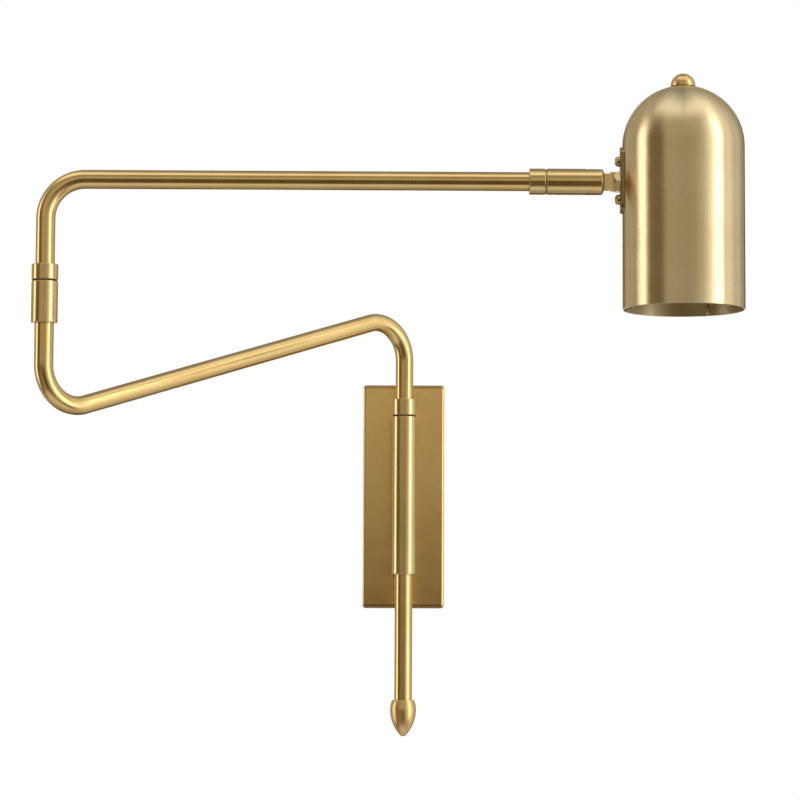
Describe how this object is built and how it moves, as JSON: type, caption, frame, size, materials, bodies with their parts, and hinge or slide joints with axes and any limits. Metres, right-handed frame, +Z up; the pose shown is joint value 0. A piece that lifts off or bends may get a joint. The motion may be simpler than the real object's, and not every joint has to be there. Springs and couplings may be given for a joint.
{
  "type": "swing-arm wall lamp",
  "caption": "Brass swing-arm wall lamp: a bent lower arm turns on a wall post, a bent upper arm turns on its elbow, and a bell shade twists and tilts on a slotted fork.",
  "frame": {"origin": "middle of the back plate on the wall plane", "axes": "+Y into the wall, +X to the right as seen by someone facing the wall, +Z up"},
  "size_m": [0.4703, 0.3128, 0.4435],
  "materials": {
    "brass_plate": "satin brass sheet, fine straight grain, clear lacquer",
    "brass_tube": "satin brass tube, polished along its length",
    "brass_turned": "turned brass, fine lathe lines",
    "brass_polished": "polished brass",
    "brass_pressed": "pressed brass",
    "brass_shade": "spun brass, brushed round its axis",
    "steel_plated": "zinc-plated steel",
    "steel_screw": "blackened steel",
    "washer_dark": "dark fibre",
    "bush_nylon": "natural nylon",
    "lead_sheath": "dark sheathed two-core lead",
    "holder_black": "black moulded lamp holder",
    "holder_white": "white insulator",
    "bulb_opal": "opal glass"
  },
  "bodies": {
    "wall_base": {"wall_bracket": "steel_plated", "earth_screw": "brass_pressed", "back_plate": "brass_plate", "back_plate_screws": "steel_screw", "pivot_sleeve": "brass_turned", "sleeve_bushes": "bush_nylon", "sleeve_retaining_screw": "steel_screw", "upper_standoff": "brass_turned", "lower_standoff": "brass_turned", "standoff_washers": "steel_plated", "standoff_nuts": "steel_plated", "terminal_block": "bush_nylon", "terminal_screws": "brass_pressed", "supply_lead": "lead_sheath"},
    "lower_arm": {"lower_arm_tube": "brass_tube", "post_collar": "brass_turned", "post_collar_screw": "steel_screw", "post_washer": "washer_dark", "finial": "brass_polished", "finial_plug": "brass_turned", "elbow_sleeve": "brass_turned", "elbow_bush": "bush_nylon", "elbow_retaining_screw": "steel_screw", "lower_arm_lead": "lead_sheath", "lower_arm_grommet": "bush_nylon"},
    "upper_arm": {"upper_arm_tube": "brass_tube", "elbow_collar": "brass_turned", "elbow_collar_screw": "steel_screw", "elbow_washer": "washer_dark", "head_collar": "brass_turned", "head_collar_screw": "steel_screw", "head_washer": "washer_dark", "upper_arm_lead": "lead_sheath", "upper_arm_grommets": "bush_nylon"},
    "swivel": {"fork": "brass_turned", "fork_bush": "bush_nylon", "fork_retaining_screw": "steel_screw", "tilt_screw": "steel_screw", "tilt_washers": "washer_dark"},
    "head": {"tongue": "brass_turned", "tongue_lock_nut": "brass_polished", "saddle_plate": "brass_pressed", "saddle_screws": "brass_polished", "saddle_nuts": "steel_plated", "shade": "brass_shade", "dome_nut": "brass_polished", "holder_washer": "steel_plated", "holder_lock_nut": "steel_plated", "holder_nipple": "steel_plated", "holder_cap": "holder_black", "holder_shell": "holder_black", "holder_insulator": "holder_white", "holder_contact": "brass_pressed", "holder_thread": "brass_pressed", "bulb_cap": "steel_plated", "bulb_glass": "bulb_opal", "head_lead": "lead_sheath"}
  },
  "joints": [
    {"name": "arm_swing", "type": "hinge", "parent": "wall_base", "child": "lower_arm", "pos_m": [0, -0.065, 0.0556], "axis": [0, 0, 1], "range_deg": [-38, 136]},
    {"name": "elbow_swing", "type": "hinge", "parent": "lower_arm", "child": "upper_arm", "pos_m": [-0.23849, -0.27231, 0.1272], "axis": [0, 0, 1], "range_deg": [-299, 21]},
    {"name": "head_twist", "type": "hinge", "parent": "upper_arm", "child": "swivel", "pos_m": [0.09211, -0.27231, 0.1952], "axis": [1, 0, 0], "range_deg": [-90, 90]},
    {"name": "head_tilt", "type": "hinge", "parent": "swivel", "child": "head", "pos_m": [0.12461, -0.27231, 0.1952], "axis": [0, 1, 0], "range_deg": [-85, 85]}
  ]
}
